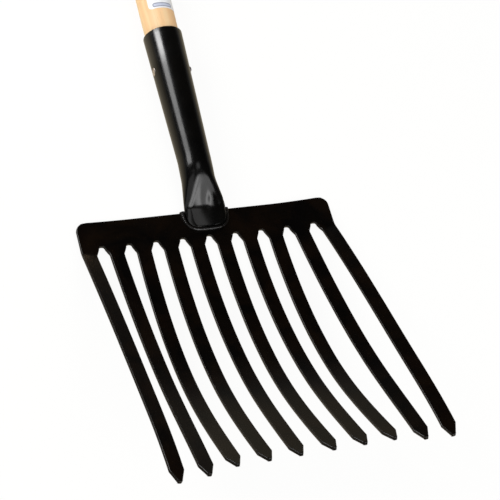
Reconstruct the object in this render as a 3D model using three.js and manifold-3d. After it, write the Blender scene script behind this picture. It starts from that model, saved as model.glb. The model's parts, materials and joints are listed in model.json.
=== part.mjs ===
// Gravel fork: a pressed steel head with ten tines, welded to a socket on a wooden shaft with a T-grip.
// Millimetres and degrees. The head is drawn with X across it, Y up towards the grip and Z out of its
// hollow face, with the heads of the slots on Y = 0 and the face of the band on Z = 0.

import * as THREE from 'three';
import { mergeVertices } from 'three/addons/utils/BufferGeometryUtils.js';
import Module from 'manifold-3d';

const wasm = await Module();
wasm.setup();

// Clearances
const seatGap = 0.3;
const shaftFitClearance = 0.5;
const rivetHoleClearance = 0.5;
const cutOverrun = 4;

// Head
const tineCount = 10;
const tinePitch = 28;
const tineRootWidth = 15.2;
const tineTipWidth = 13.9;
const tineLength = 310.5;
const bandHeight = 27.8;
const bandCornerRadius = 10;
const plateThickness = 3.5;
const slotHeadRadius = 3.1;
const slotHeadLength = 9.8;
const tipTaperLength = 12.5;
const tipShoulderWidth = 5;
const tipEndWidth = 2.5;
const tipRoundLength = 1.5;
const bendStart = 2;
const rootBendLength = 8;
const rootBlendLength = 16;
const flatBandHalfWidth = 70;
const bandEndRise = 5.8;

// How far each kind of tine leans out of the band's plane, in degrees, at its root, quarter, half,
// three quarters and tip, how it rolls about its own length, and how it splays
const tineKinds = {
  outer: { lean: [26, 23, 21.5, 22.5, 16], roll: 10.9, splayShare: 0.0085 },
  near: { lean: [14, 17, 22, 29, 29], roll: 7.8, splayShare: 0.0105 },
  inner: { lean: [0, 11.4, 23, 35, 39], roll: 1.3, splayShare: 0.0128 },
  middle: { lean: [0, 11.4, 23, 35, 39], roll: 0, splayShare: 0.006 },
};
const kindFromEdge = ['outer', 'near', 'inner', 'middle'];
const tineStationCount = 14;

// Socket
const socketAxisLift = 3.9;
const socketMouthRadius = 20.7;
const socketNeckRadius = 17.25;
const socketNeckRise = 1.6;
const socketWall = 2;
const socketRoundLength = 145;
const socketPressLength = 72.8;

// Foot of the socket, which is pressed flat: it has a rounded end, is at its full width where it leaves
// the band, and then narrows and swells to the neck
const footSeatLength = 19.8;
const footHalfWidth = 21.8;
const footThickness = 9.5;
const footEndThickness = 7.1;
const footEndRoundness = 3.4;
const footSquareness = 3.2;
const footNarrowingLength = 35.5;
const footSwellStart = 14.8;

// Shaft and grip
const shaftInsertLength = 130;
const shaftRadius = socketMouthRadius - socketWall - shaftFitClearance;
const shaftLength = 620;
const shaftNeckRadius = 14.5;
const shaftNeckLength = 90;
const socketEndRoom = 32;
const gripBarLength = 128;
const gripBarRadius = 17;
const gripBarEndRadius = 13.5;
const gripBarEndRound = 4;
const gripSeatCut = 4;
const tenonRadius = 9.5;
const wedgeThickness = 3.2;
const wedgePointThickness = 0.8;
const wedgeDepth = 22;
const wedgeEdgeInset = 1.5;

// Rivet
const rivetDistance = 42.3;
const rivetShankRadius = 2.2;
const rivetHeadRadius = 4.6;
const rivetHeadHeight = 1.6;
const rivetButtonRadius = 3.2;
const rivetButtonHeight = 2.3;

// Welds
const faceWeldRadius = 1.9;
const faceWeldReach = 18;
const rearWeldRelief = 0.25;
const rearWeldHalfLength = 26;
const weldRippleShare = 0.12;
const weldEndRoundness = 12;
const weldEndShrinkShare = 0.75;

// Label, turned from the front of the shaft towards its right side
const labelStart = 25;
const labelLength = 60;
const labelHalfAngle = 60;
const labelTurn = 15;
const labelThickness = 0.3;

// Facets
const roundSegments = 32;
const ringPoints = 32;
const curveSteps = 4;

const looks = {
  blackPaint: { color: 0x15130f, roughness: 0.42, metalness: 0.25 },
  weldPaint: { color: 0x1d1b18, roughness: 0.5, metalness: 0.3 },
  ash: { color: 0xe8bf8c, roughness: 0.6, metalness: 0 },
  paleAsh: { color: 0xd9ad78, roughness: 0.65, metalness: 0 },
  zinc: { color: 0xc9c2bd, roughness: 0.35, metalness: 0.9 },
  labelPaper: { color: 0xf1f2f2, roughness: 0.5, metalness: 0 },
};

const radians = THREE.MathUtils.degToRad;
const clamp01 = (value) => THREE.MathUtils.clamp(value, 0, 1);
const mix = THREE.MathUtils.lerp;
const smooth = (value) => THREE.MathUtils.smoothstep(value, 0, 1);

function part(name, geometry, look) {
  const mesh = new THREE.Mesh(geometry, new THREE.MeshStandardMaterial(look));
  mesh.name = name;
  return mesh;
}

// Values from 0 to 1 in equal steps, with both ends
function shares(steps) {
  return Array.from({ length: steps + 1 }, (_, k) => k / steps);
}

// Triangles gathered as a soup, then joined where their corners meet
class Skin {
  constructor() {
    this.positions = [];
  }

  triangle(a, b, c) {
    for (const corner of [a, b, c]) {
      this.positions.push(corner.x, corner.y, corner.z);
    }
  }

  quad(a, b, c, d) {
    this.triangle(a, b, c);
    this.triangle(a, c, d);
  }

  // Rings of equal count, each one nearer the viewer's end than the last, turning counterclockwise there
  sleeve(rings) {
    for (let k = 0; k + 1 < rings.length; k += 1) {
      const count = rings[k].length;
      for (let j = 0; j < count; j += 1) {
        const next = (j + 1) % count;
        this.quad(rings[k][j], rings[k][next], rings[k + 1][next], rings[k + 1][j]);
      }
    }
  }

  lid(ring, facesOn) {
    const centre = new THREE.Vector3();
    ring.forEach((point) => centre.addScaledVector(point, 1 / ring.length));
    ring.forEach((point, j) => {
      const next = ring[(j + 1) % ring.length];
      if (facesOn) {
        this.triangle(centre, point, next);
      } else {
        this.triangle(centre, next, point);
      }
    });
  }

  geometry() {
    const loose = new THREE.BufferGeometry();
    loose.setAttribute('position', new THREE.Float32BufferAttribute(this.positions, 3));
    const joined = mergeVertices(loose);
    joined.computeVertexNormals();
    return joined;
  }
}

function toSolid(geometry) {
  const bare = geometry.clone();
  bare.deleteAttribute('normal');
  bare.deleteAttribute('uv');
  const joined = mergeVertices(bare);
  const vertProperties = new Float32Array(joined.attributes.position.array);
  const triVerts = new Uint32Array(joined.index.array);
  return new wasm.Manifold(new wasm.Mesh({ numProp: 3, vertProperties, triVerts }));
}

function toGeometry(solid) {
  const mesh = solid.getMesh();
  const geometry = new THREE.BufferGeometry();
  geometry.setAttribute('position', new THREE.BufferAttribute(new Float32Array(mesh.vertProperties), 3));
  geometry.setIndex(new THREE.BufferAttribute(new Uint32Array(mesh.triVerts), 1));
  geometry.computeVertexNormals();
  return geometry;
}

function cut(geometry, ...cutters) {
  return toGeometry(cutters.reduce((solid, cutter) => solid.subtract(toSolid(cutter)), toSolid(geometry)));
}

function latheAlongY(profile) {
  return new THREE.LatheGeometry(profile.map(([radius, y]) => new THREE.Vector2(radius, y)), roundSegments);
}

// Head: flat outline of a tine
const tineBodyHalf = (along) => mix(tineRootWidth, tineTipWidth, along / tineLength) / 2;
const fullSlotHalf = (along) => tinePitch / 2 - tineBodyHalf(along);

function slotHalf(along) {
  if (along < slotHeadRadius) {
    return Math.sqrt(slotHeadRadius ** 2 - (slotHeadRadius - along) ** 2);
  }
  const share = clamp01((along - slotHeadRadius) / (slotHeadLength - slotHeadRadius));
  return mix(slotHeadRadius, fullSlotHalf(along), share);
}

function tineHalf(along) {
  if (along <= 0) {
    return tinePitch / 2;
  }
  if (along < slotHeadLength) {
    return tinePitch / 2 - slotHalf(along);
  }
  const toTip = tineLength - along;
  if (toTip >= tipTaperLength) {
    return tineBodyHalf(along);
  }
  if (toTip > tipRoundLength) {
    const share = (toTip - tipRoundLength) / (tipTaperLength - tipRoundLength);
    return mix(tipShoulderWidth / 2, tineBodyHalf(tineLength - tipTaperLength), share);
  }
  return mix(tipEndWidth, tipShoulderWidth, toTip / tipRoundLength) / 2;
}

// Half width of the band and outer tine on the side away from the other tines
function outerEdgeHalf(along) {
  if (along > slotHeadLength) {
    return tineHalf(along);
  }
  const body = tineBodyHalf(Math.max(along, 0));
  const intoCorner = -along - (bandHeight - bandCornerRadius);
  if (intoCorner <= 0) {
    return body;
  }
  return body - bandCornerRadius + Math.sqrt(Math.max(bandCornerRadius ** 2 - intoCorner ** 2, 0));
}

// Head: the bends
const bandEndWidth = (tineCount * tinePitch) / 2 - flatBandHalfWidth;
const bandEndShare = (x) => Math.max(Math.abs(x) - flatBandHalfWidth, 0) / bandEndWidth;
const bandRise = (x) => bandEndRise * bandEndShare(x) ** 2;
const bandSlope = (x) => Math.atan((2 * bandEndRise * bandEndShare(x)) / bandEndWidth) * Math.sign(x);

const leanSteps = 240;
const leanStep = (tineLength - bendStart) / leanSteps;

function leanLine(kind) {
  const stations = kind.lean.map((degrees, k) => new THREE.Vector3(k, degrees, 0));
  const spline = new THREE.CatmullRomCurve3(stations, false, 'catmullrom');
  const line = [{ lean: 0, y: -bendStart, z: 0 }];
  for (let k = 1; k <= leanSteps + 1; k += 1) {
    const before = line[k - 1];
    const degrees = spline.getPoint(clamp01(k / leanSteps)).y;
    const lean = radians(degrees) * clamp01((k * leanStep) / rootBendLength);
    const middle = (lean + before.lean) / 2;
    line.push({
      lean,
      y: before.y - Math.cos(middle) * leanStep,
      z: before.z + Math.sin(middle) * leanStep,
    });
  }
  return line;
}

Object.values(tineKinds).forEach((kind) => {
  kind.line = leanLine(kind);
});

function bendAt(kind, along) {
  if (along <= bendStart) {
    return { lean: 0, y: -along, z: 0 };
  }
  const place = (along - bendStart) / leanStep;
  const low = kind.line[Math.floor(place)];
  const high = kind.line[Math.floor(place) + 1];
  const share = place - Math.floor(place);
  return {
    lean: mix(low.lean, high.lean, share),
    y: mix(low.y, high.y, share),
    z: mix(low.z, high.z, share),
  };
}

// A point of the bent plate: sideways from its tine's centre line, along it, and below its face
function platePoint(index, sideways, along, below) {
  const fromEdge = Math.min(index, tineCount - 1 - index, kindFromEdge.length - 1);
  const kind = tineKinds[kindFromEdge[fromEdge]];
  const outward = index < tineCount / 2 ? -1 : 1;
  const rootX = (index - (tineCount - 1) / 2) * tinePitch;
  const bend = bendAt(kind, along);
  const blend = smooth(along / rootBlendLength);
  const roll = radians(kind.roll) * outward;
  const tilt = mix(bandSlope(rootX + sideways), roll, blend);
  const rise = mix(bandRise(rootX + sideways) - bandRise(rootX), sideways * Math.sin(roll), blend);
  const splay = outward * kind.splayShare * Math.max(along, 0);
  const x = rootX + splay + sideways * mix(1, Math.cos(roll), blend);
  const up = rise - below * Math.cos(tilt);
  return new THREE.Vector3(
    x + below * Math.sin(tilt),
    bend.y + up * Math.sin(bend.lean),
    bend.z + bandRise(rootX) + up * Math.cos(bend.lean),
  );
}

function headStations() {
  const cornerStart = bandHeight - bandCornerRadius;
  const tipStart = tineLength - tipTaperLength;
  const quarter = shares(curveSteps).map((share) => Math.sin((Math.PI / 2) * share));
  return [
    ...quarter.map((share) => -cornerStart - bandCornerRadius * share).reverse(),
    -cornerStart / 2,
    ...quarter.map((share) => slotHeadRadius * (1 - share)).reverse(),
    ...shares(tineStationCount).map((share) => mix(slotHeadLength, tipStart, share)),
    tineLength - tipRoundLength,
    tineLength,
  ];
}

function headGeometry() {
  const skin = new Skin();
  const stations = headStations();
  for (let index = 0; index < tineCount; index += 1) {
    const first = index === 0;
    const last = index === tineCount - 1;
    const rows = stations.map((along) => {
      const left = first ? outerEdgeHalf(along) : tineHalf(along);
      const right = last ? outerEdgeHalf(along) : tineHalf(along);
      return {
        along,
        topLeft: platePoint(index, -left, along, 0),
        topRight: platePoint(index, right, along, 0),
        backLeft: platePoint(index, -left, along, plateThickness),
        backRight: platePoint(index, right, along, plateThickness),
      };
    });
    for (let k = 0; k + 1 < rows.length; k += 1) {
      const upper = rows[k];
      const lower = rows[k + 1];
      const free = upper.along >= 0;
      skin.quad(lower.topLeft, lower.topRight, upper.topRight, upper.topLeft);
      skin.quad(lower.backLeft, upper.backLeft, upper.backRight, lower.backRight);
      if (free || first) {
        skin.quad(upper.topLeft, upper.backLeft, lower.backLeft, lower.topLeft);
      }
      if (free || last) {
        skin.quad(upper.topRight, lower.topRight, lower.backRight, upper.backRight);
      }
    }
    const top = rows[0];
    const tip = rows[rows.length - 1];
    skin.quad(top.topLeft, top.topRight, top.backRight, top.backLeft);
    skin.quad(tip.topLeft, tip.backLeft, tip.backRight, tip.topRight);
  }
  return skin.geometry();
}

// Socket: a tapered tube whose lower end is pressed flat and lies on the band
const axisLift = radians(socketAxisLift);
const axisDirection = new THREE.Vector3(0, Math.cos(axisLift), Math.sin(axisLift));
const footEndY = bandHeight - footSeatLength;
const neckCentreZ = seatGap + socketNeckRise + socketNeckRadius;
const neckCentre = new THREE.Vector3(0, footEndY + socketPressLength, neckCentreZ);
const mouthCentre = neckCentre.clone().addScaledVector(axisDirection, socketRoundLength);
const circleSquareness = 2;

function superellipseRing(centre, halfWidth, halfHeight, squareness, tilt) {
  const ring = [];
  for (let j = 0; j < ringPoints; j += 1) {
    const turn = (-2 * Math.PI * j) / ringPoints;
    const c = Math.cos(turn);
    const s = Math.sin(turn);
    const side = halfWidth * Math.sign(c) * Math.abs(c) ** (2 / squareness);
    const up = halfHeight * Math.sign(s) * Math.abs(s) ** (2 / squareness);
    ring.push(new THREE.Vector3(
      centre.x + side,
      centre.y - up * Math.sin(tilt),
      centre.z + up * Math.cos(tilt),
    ));
  }
  return ring;
}

// Share of the foot's full width at a distance from its end
function footEndShare(along) {
  const fromFull = 1 - clamp01(along / footSeatLength);
  return (1 - fromFull ** footEndRoundness) ** (1 / footEndRoundness);
}

// A section of the pressed part, at a distance from the foot's end
function pressedSection(along, inset) {
  const endShare = footEndShare(along);
  const narrowing = smooth((along - footSeatLength) / footNarrowingLength);
  const swelling = smooth((along - footSwellStart) / (socketPressLength - footSwellStart));
  const halfWidth = mix(footHalfWidth, socketNeckRadius, narrowing) * endShare;
  const footTop = seatGap + mix(footEndThickness, footThickness, endShare);
  const bottom = mix(seatGap, neckCentre.z - socketNeckRadius, swelling);
  const top = mix(footTop, neckCentre.z + socketNeckRadius, swelling);
  const centre = new THREE.Vector3(0, footEndY + along, (bottom + top) / 2);
  const squareness = mix(footSquareness, circleSquareness, smooth(along / socketPressLength));
  const halfHeight = (top - bottom) / 2;
  return superellipseRing(centre, halfWidth - inset, halfHeight - inset, squareness, axisLift * swelling);
}

function roundSection(share, inset) {
  const centre = neckCentre.clone().lerp(mouthCentre, share);
  const radius = mix(socketNeckRadius, socketMouthRadius, share) - inset;
  return superellipseRing(centre, radius, radius, circleSquareness, axisLift);
}

function crossCylinder(radius, fromX, toX, centre) {
  const cylinder = new THREE.CylinderGeometry(radius, radius, toX - fromX, roundSegments);
  cylinder.rotateZ(Math.PI / 2);
  cylinder.translate((fromX + toX) / 2, centre.y, centre.z);
  return cylinder;
}

const rivetHoleRadius = rivetShankRadius + seatGap;
const rivetHeadHoleRadius = rivetHeadRadius + rivetHoleClearance;
const rivetCentre = mouthCentre.clone().addScaledVector(axisDirection, -rivetDistance);
const socketRadiusAtRivet = mix(socketMouthRadius, socketNeckRadius, rivetDistance / socketRoundLength);

function socketGeometry() {
  const skin = new Skin();
  const pressedRings = 11;
  const cavityEnd = socketPressLength + socketRoundLength - shaftInsertLength - socketEndRoom;
  const pressedStations = shares(pressedRings).slice(1, -1).map((share) => socketPressLength * share ** 2);
  const outer = pressedStations.map((along) => pressedSection(along, 0));
  outer.push(...shares(2).map((share) => roundSection(share, 0)));
  const inner = [pressedSection(cavityEnd, socketWall)];
  inner.push(...shares(2).map((share) => roundSection(share, socketWall)));
  skin.lid(outer[0], false);
  skin.sleeve(outer);
  skin.sleeve([outer[outer.length - 1], inner[inner.length - 1]]);
  skin.sleeve(inner.slice().reverse());
  skin.lid(inner[0], true);
  const reach = socketMouthRadius + cutOverrun;
  return cut(
    skin.geometry(),
    crossCylinder(rivetHeadHoleRadius, -reach, 0, rivetCentre),
    crossCylinder(rivetHoleRadius, 0, reach, rivetCentre),
  );
}

// Welds: a bead round the foot on the face, and one along the band's top edge behind the socket
function beadGeometry(points, radius) {
  const path = new THREE.CatmullRomCurve3(points);
  const ringsPerPoint = 3;
  const sides = 8;
  const skin = new Skin();
  const rings = shares(points.length * ringsPerPoint).map((share, k) => {
    const centre = path.getPointAt(share);
    const ahead = path.getTangentAt(share);
    const side = new THREE.Vector3().crossVectors(ahead, new THREE.Vector3(0, 0, 1)).normalize();
    const up = new THREE.Vector3().crossVectors(side, ahead);
    const toEnd = Math.abs(2 * share - 1);
    const endShare = Math.sqrt(1 - weldEndShrinkShare * toEnd ** weldEndRoundness);
    const size = radius * endShare * (1 - weldRippleShare * (k % 2));
    return Array.from({ length: sides }, (_, j) => {
      const turn = (-2 * Math.PI * (j + 0.5)) / sides;
      const point = centre.clone().addScaledVector(side, Math.cos(turn) * size);
      return point.addScaledVector(up, Math.sin(turn) * size);
    });
  });
  skin.lid(rings[0], false);
  skin.sleeve(rings);
  skin.lid(rings[rings.length - 1], true);
  return skin.geometry();
}

function faceWeldPath() {
  const aside = faceWeldRadius + seatGap;
  const sidePoints = 6;
  const crowding = 1.8;
  const slopeStep = seatGap;
  const edgeX = (along) => footHalfWidth * footEndShare(along);
  const rightSide = shares(sidePoints).slice(1).map((share) => {
    const along = faceWeldReach * share ** crowding;
    const slope = (edgeX(along + slopeStep) - edgeX(along)) / slopeStep;
    const outward = new THREE.Vector2(1, -slope).setLength(aside);
    return new THREE.Vector3(edgeX(along) + outward.x, footEndY + along + outward.y, aside);
  });
  const leftSide = rightSide.map((point) => new THREE.Vector3(-point.x, point.y, point.z)).reverse();
  return [...leftSide, new THREE.Vector3(0, footEndY - aside, aside), ...rightSide];
}

const rearWeldRadius = plateThickness / 2 - rearWeldRelief;

function rearWeldPath() {
  const y = bandHeight + seatGap + rearWeldRadius;
  const xs = shares(curveSteps).map((share) => mix(-rearWeldHalfLength, rearWeldHalfLength, share));
  return xs.map((x) => new THREE.Vector3(x, y, -plateThickness / 2));
}

// Shaft: drawn upright with the mouth of the socket on Y = 0
const socketTaper = (socketMouthRadius - socketNeckRadius) / socketRoundLength;
const shaftRootRadius = socketMouthRadius - socketWall - seatGap - shaftInsertLength * socketTaper;
const gripAxisY = shaftLength;
const shoulderY = gripAxisY - gripBarRadius + gripSeatCut;
const tenonEndY = gripAxisY + gripBarRadius - seatGap;

// The wedge's outline, or with a clearance and an overrun the slot that takes it
function wedgeShape(clearance, overrun) {
  const halfAt = (depth) => mix(wedgeThickness, wedgePointThickness, depth / wedgeDepth) / 2 + clearance;
  const shape = new THREE.Shape();
  shape.moveTo(-halfAt(-overrun), tenonEndY + overrun);
  shape.lineTo(-halfAt(wedgeDepth), tenonEndY - wedgeDepth - clearance);
  shape.lineTo(halfAt(wedgeDepth), tenonEndY - wedgeDepth - clearance);
  shape.lineTo(halfAt(-overrun), tenonEndY + overrun);
  return shape;
}

function wedgeGeometry(halfWidth, clearance, overrun) {
  const outline = wedgeShape(clearance, overrun);
  const wedge = new THREE.ExtrudeGeometry(outline, { depth: 2 * halfWidth, bevelEnabled: false });
  wedge.translate(0, 0, -halfWidth);
  return wedge;
}

function shaftGeometry() {
  const neck = shares(curveSteps).map((share) => [
    mix(shaftRadius, shaftNeckRadius, smooth(share)),
    shoulderY - shaftNeckLength * (1 - share),
  ]);
  const rod = latheAlongY([
    [0, -shaftInsertLength],
    [shaftRootRadius - seatGap, -shaftInsertLength],
    [shaftRootRadius, seatGap - shaftInsertLength],
    [shaftRadius - seatGap, 0],
    [shaftRadius, shaftRadius],
    ...neck,
    [tenonRadius, shoulderY],
    [tenonRadius, tenonEndY],
    [0, tenonEndY],
  ]);
  const reach = shaftRadius + cutOverrun;
  return cut(
    rod,
    crossCylinder(rivetHoleRadius, -reach, reach, new THREE.Vector3(0, -rivetDistance, 0)),
    wedgeGeometry(tenonRadius + cutOverrun, seatGap, cutOverrun),
  );
}

// Rivet: its set head fills the left hole, its button stands proud on the right
function domeProfile(radius, seat, crown) {
  const rounded = shares(curveSteps).slice(0, -1).map((share) => {
    const turn = (Math.PI / 2) * share;
    return [radius * Math.cos(turn), mix(seat, crown, Math.sin(turn))];
  });
  return [...rounded, [0, crown]];
}

function rivetGeometry() {
  const shaftRadiusAtRivet = mix(shaftRadius - seatGap, shaftRootRadius, rivetDistance / shaftInsertLength);
  const headSeat = shaftRadiusAtRivet + seatGap;
  const buttonSeat = -socketRadiusAtRivet - seatGap;
  const rivet = latheAlongY([
    ...domeProfile(rivetButtonRadius, buttonSeat, buttonSeat - rivetButtonHeight).reverse(),
    [rivetShankRadius, buttonSeat],
    [rivetShankRadius, headSeat],
    ...domeProfile(rivetHeadRadius, headSeat, headSeat + rivetHeadHeight),
  ]);
  rivet.rotateZ(Math.PI / 2);
  rivet.translate(0, -rivetDistance, 0);
  return rivet;
}

// Grip: a turned bar across the top of the shaft, bored for the tenon
function gripBarGeometry() {
  const half = gripBarLength / 2;
  const barrel = shares(2 * curveSteps).map((share) => {
    const fromMiddle = 2 * share - 1;
    return [mix(gripBarRadius, gripBarEndRadius, fromMiddle ** 2), (half - gripBarEndRound) * fromMiddle];
  });
  const bar = latheAlongY([
    [0, -half],
    [gripBarEndRadius - gripBarEndRound, -half],
    ...barrel,
    [gripBarEndRadius - gripBarEndRound, half],
    [0, half],
  ]);
  bar.rotateZ(Math.PI / 2);
  bar.translate(0, gripAxisY, 0);
  const reach = gripBarRadius + cutOverrun;
  const boreRadius = tenonRadius + seatGap;
  const bore = new THREE.CylinderGeometry(boreRadius, boreRadius, 2 * reach, roundSegments);
  bore.translate(0, gripAxisY, 0);
  const seatRadius = shaftNeckRadius + seatGap;
  const seat = new THREE.CylinderGeometry(seatRadius, seatRadius, reach, roundSegments);
  seat.translate(0, shoulderY + seatGap - reach / 2, 0);
  return cut(bar, bore, seat);
}

// Label: a bare strip of paper stuck round the front of the shaft
function labelGeometry() {
  const inside = shaftRadius + seatGap;
  const outside = inside + labelThickness;
  const half = radians(labelHalfAngle);
  const middle = Math.PI / 2 - radians(labelTurn);
  const shape = new THREE.Shape();
  shape.absarc(0, 0, outside, middle - half, middle + half, false);
  shape.absarc(0, 0, inside, middle + half, middle - half, true);
  const label = new THREE.ExtrudeGeometry(shape, { depth: labelLength, bevelEnabled: false });
  label.rotateX(Math.PI / 2);
  label.translate(0, labelStart + labelLength, 0);
  return label;
}

// Assembly
const head = new THREE.Group();
head.add(part('fork_head', headGeometry(), looks.blackPaint));
head.add(part('socket', socketGeometry(), looks.blackPaint));
head.add(part('face_weld_bead', beadGeometry(faceWeldPath(), faceWeldRadius), looks.weldPaint));
head.add(part('rear_weld_bead', beadGeometry(rearWeldPath(), rearWeldRadius), looks.weldPaint));

const handle = new THREE.Group();
handle.position.copy(mouthCentre);
handle.rotation.x = axisLift;
handle.add(part('shaft', shaftGeometry(), looks.ash));
handle.add(part('socket_rivet', rivetGeometry(), looks.zinc));
handle.add(part('shaft_label', labelGeometry(), looks.labelPaper));
handle.add(part('grip_bar', gripBarGeometry(), looks.paleAsh));
handle.add(part('grip_wedge', wedgeGeometry(tenonRadius - wedgeEdgeInset, 0, 0), looks.ash));

const tool = new THREE.Group();
tool.add(head, handle);

// The tool lies on its back on the floor: it tips until the band's top edge and the socket's mouth are
// level, which is found by halving the range of angles that holds the answer
const forkHead = head.getObjectByName('fork_head');
const restsBehind = [...head.children, ...handle.children].filter((mesh) => mesh !== forkHead);
const lowest = (object) => new THREE.Box3().setFromObject(object, true).min.z;
const steepestRest = 15;
const halvings = 30;
let tooLevel = 0;
let tooSteep = radians(steepestRest);
for (let step = 0; step < halvings; step += 1) {
  const trial = (tooLevel + tooSteep) / 2;
  tool.rotation.x = -trial;
  tool.updateMatrixWorld(true);
  if (Math.min(...restsBehind.map(lowest)) > lowest(forkHead)) {
    tooLevel = trial;
  } else {
    tooSteep = trial;
  }
}

const gravelFork = new THREE.Group();
gravelFork.add(tool);
const bounds = new THREE.Box3().setFromObject(gravelFork, true);
const middle = bounds.getCenter(new THREE.Vector3());
tool.position.set(-middle.x, -middle.y, -bounds.min.z);

export default gravelFork;
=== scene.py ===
"""Looks of the gravel fork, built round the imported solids. Shapes are written in millimetres in two
drawing frames: HEAD, with X across the band, Y up towards the grip and Z out of the hollow face, and
HANDLE, whose Y runs up the shaft from the socket's mouth. Both are laid down as the solids lie."""

import json
import math

import bpy
from mathutils import Matrix, Vector, noise


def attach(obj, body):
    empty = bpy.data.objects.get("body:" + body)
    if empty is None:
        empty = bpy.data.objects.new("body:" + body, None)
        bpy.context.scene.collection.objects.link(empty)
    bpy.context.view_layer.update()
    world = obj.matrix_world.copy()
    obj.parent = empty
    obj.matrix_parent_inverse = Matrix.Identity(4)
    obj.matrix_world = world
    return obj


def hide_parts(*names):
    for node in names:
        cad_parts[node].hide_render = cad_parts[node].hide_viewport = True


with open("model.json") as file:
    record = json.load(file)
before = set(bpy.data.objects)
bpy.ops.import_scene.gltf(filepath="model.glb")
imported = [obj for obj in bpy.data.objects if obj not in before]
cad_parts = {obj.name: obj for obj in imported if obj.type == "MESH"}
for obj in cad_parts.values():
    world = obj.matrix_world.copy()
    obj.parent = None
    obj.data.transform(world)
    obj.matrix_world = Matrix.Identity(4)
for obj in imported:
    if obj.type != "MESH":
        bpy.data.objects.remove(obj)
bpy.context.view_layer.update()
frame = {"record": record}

MM = 0.001

# Head
TINES = 10
PITCH = 28.0
ROOT_WIDTH = 15.2
TIP_WIDTH = 13.9
TINE_LENGTH = 310.5
BAND_HEIGHT = 27.8
BAND_CORNER = 10.0
THICKNESS = 3.5
SLOT_HEAD_RADIUS = 3.1
SLOT_HEAD_LENGTH = 9.8
TIP_TAPER = 12.5
TIP_SHOULDER = 5.0
TIP_END = 2.5
TIP_ROUND = 1.5
BEND_START = 2.0
ROOT_BEND = 8.0
ROOT_BLEND = 16.0
LEAN_STEPS = 240
LEAN_STEP = (TINE_LENGTH - BEND_START) / LEAN_STEPS
# The band is flat for this far to either side of its middle, and rises over its ends
FLAT_HALF = 70.0
END_WIDTH = TINES * PITCH / 2 - FLAT_HALF
LEFT_END_RISE = 2.8
RIGHT_END_RISE = 5.8
RIGHT_END_SHIFT = 1.3
RIGHT_END_SHIFT_START = 84.0
RIGHT_END_SHIFT_REACH = 40.0
# Outermost first: leans out of the band's plane at five stations and roll, in degrees, and splay share
TINE_KINDS = [
    ((26, 23, 21.5, 22.5, 16), 10.9, 0.0085),
    ((14, 17, 22, 29, 29), 7.8, 0.0105),
    ((0, 11.4, 23, 35, 39), 1.3, 0.0128),
    ((0, 11.4, 23, 35, 39), 0.0, 0.006),
    ((0, 11.4, 23, 35, 39), 0.0, 0.006),
]
# Irregularity of each tine from left to right: sideways in its belly, and sideways at its tip
TINE_SWAY = [
    (1.6, 1.3),
    (0.8, 0.6),
    (-1.2, 0.0),
    (-1.6, -0.9),
    (0.0, 0.3),
    (-2.0, 0.0),
    (-0.3, 1.6),
    (-1.6, 0.3),
    (0.3, 1.0),
    (0.4, -0.2),
]
# Brings share**2 * (1 - share) to 1 at its peak, two thirds down the tine
BELLY_PEAK = 6.75
EDGE_ROUND = 1.05
# Faint waviness of the plate: its height, and its wave lengths
PLATE_WARP = 0.12
WARP_ACROSS = 19.0
WARP_ALONG = 31.0
HEAD_COLUMNS = (0.0, 0.2, 0.4, 0.6, 0.8, 1.0)

# Socket
AXIS_LIFT = math.radians(3.9)
MOUTH_RADIUS = 20.7
NECK_RADIUS = 17.25
NECK_RISE = 1.6
WALL = 2.0
ROUND_LENGTH = 145.0
PRESS_LENGTH = 72.8
SEAT_GAP = 0.3
FOOT_SEAT = 19.8
FOOT_HALF = 21.8
FOOT_THICK = 9.5
FOOT_END_THICK = 8.7
FOOT_ROUNDNESS = 3.4
FOOT_SQUARENESS = 3.2
TUBE_SQUARENESS = 2.0
FOOT_NARROWING = 30.0
FOOT_SWELL_START = 14.8
FOOT_SHIFT = 1.5
NECK_SHIFT = -1.1
NECK_SHIFT_START = 22.0
NECK_SHIFT_REACH = 26.0
TUBE_SHIFT = -0.6
TUBE_SHIFT_START = 54.0
FOOT_END_Y = BAND_HEIGHT - FOOT_SEAT
FOOT_END_STATIONS = [0.25, 0.5, 0.8, 1.2, 1.7, 2.3]
EVEN_STATIONS_START = 3.0
HOLLOW_STATIONS = (20.0, 60.0, 100.0)
HOLLOW_END = 57.0
SOCKET_SIDES = 128
RIM_ROUND = 0.7
RIVET_DISTANCE = 42.3
# Below the mouth: where the tube's extra gloss sets in, and where it is full
MOUTH_GLOSS_ENDS = (42.0, 30.0)

# Pressed facet on the front of the foot, with distances from the foot's end
FACET_LENGTH = 50.0
FACET_HALF = 14.5
FACET_WIDEST = 20.0
FACET_ROUNDNESS = 4.0
FACET_MARGIN = 2.5
FACET_END = PRESS_LENGTH - 1.0
FACET_CENTRE = 1.2
FACET_TURN_START = 30.0
FACET_TURN_REACH = 24.0
FACET_CROWN = (1.2, 2.4)
CROWN_START = 14.0
CROWN_REACH = 10.0
FOOT_DROP = 0.5
FOOT_SLOPE = 0.16
FOOT_SLOPE_ROUND = 4.0
FOOT_TWIST = 0.12
SLOPE_START = 20.0
SLOPE_END = 60.0
SLOPE_ROUND = 22.0
FOLD_ROUND = 2.4
FOLD_FADE_START = 24.0
FOLD_FADE_REACH = 16.0
# Swelling and dent: place across and along, reach across and along, rise
SWELLINGS = ((9.2, 24.5, 5.5, 6.0, 1.5), (2.4, 27.0, 3.6, 8.0, -0.9))

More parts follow.
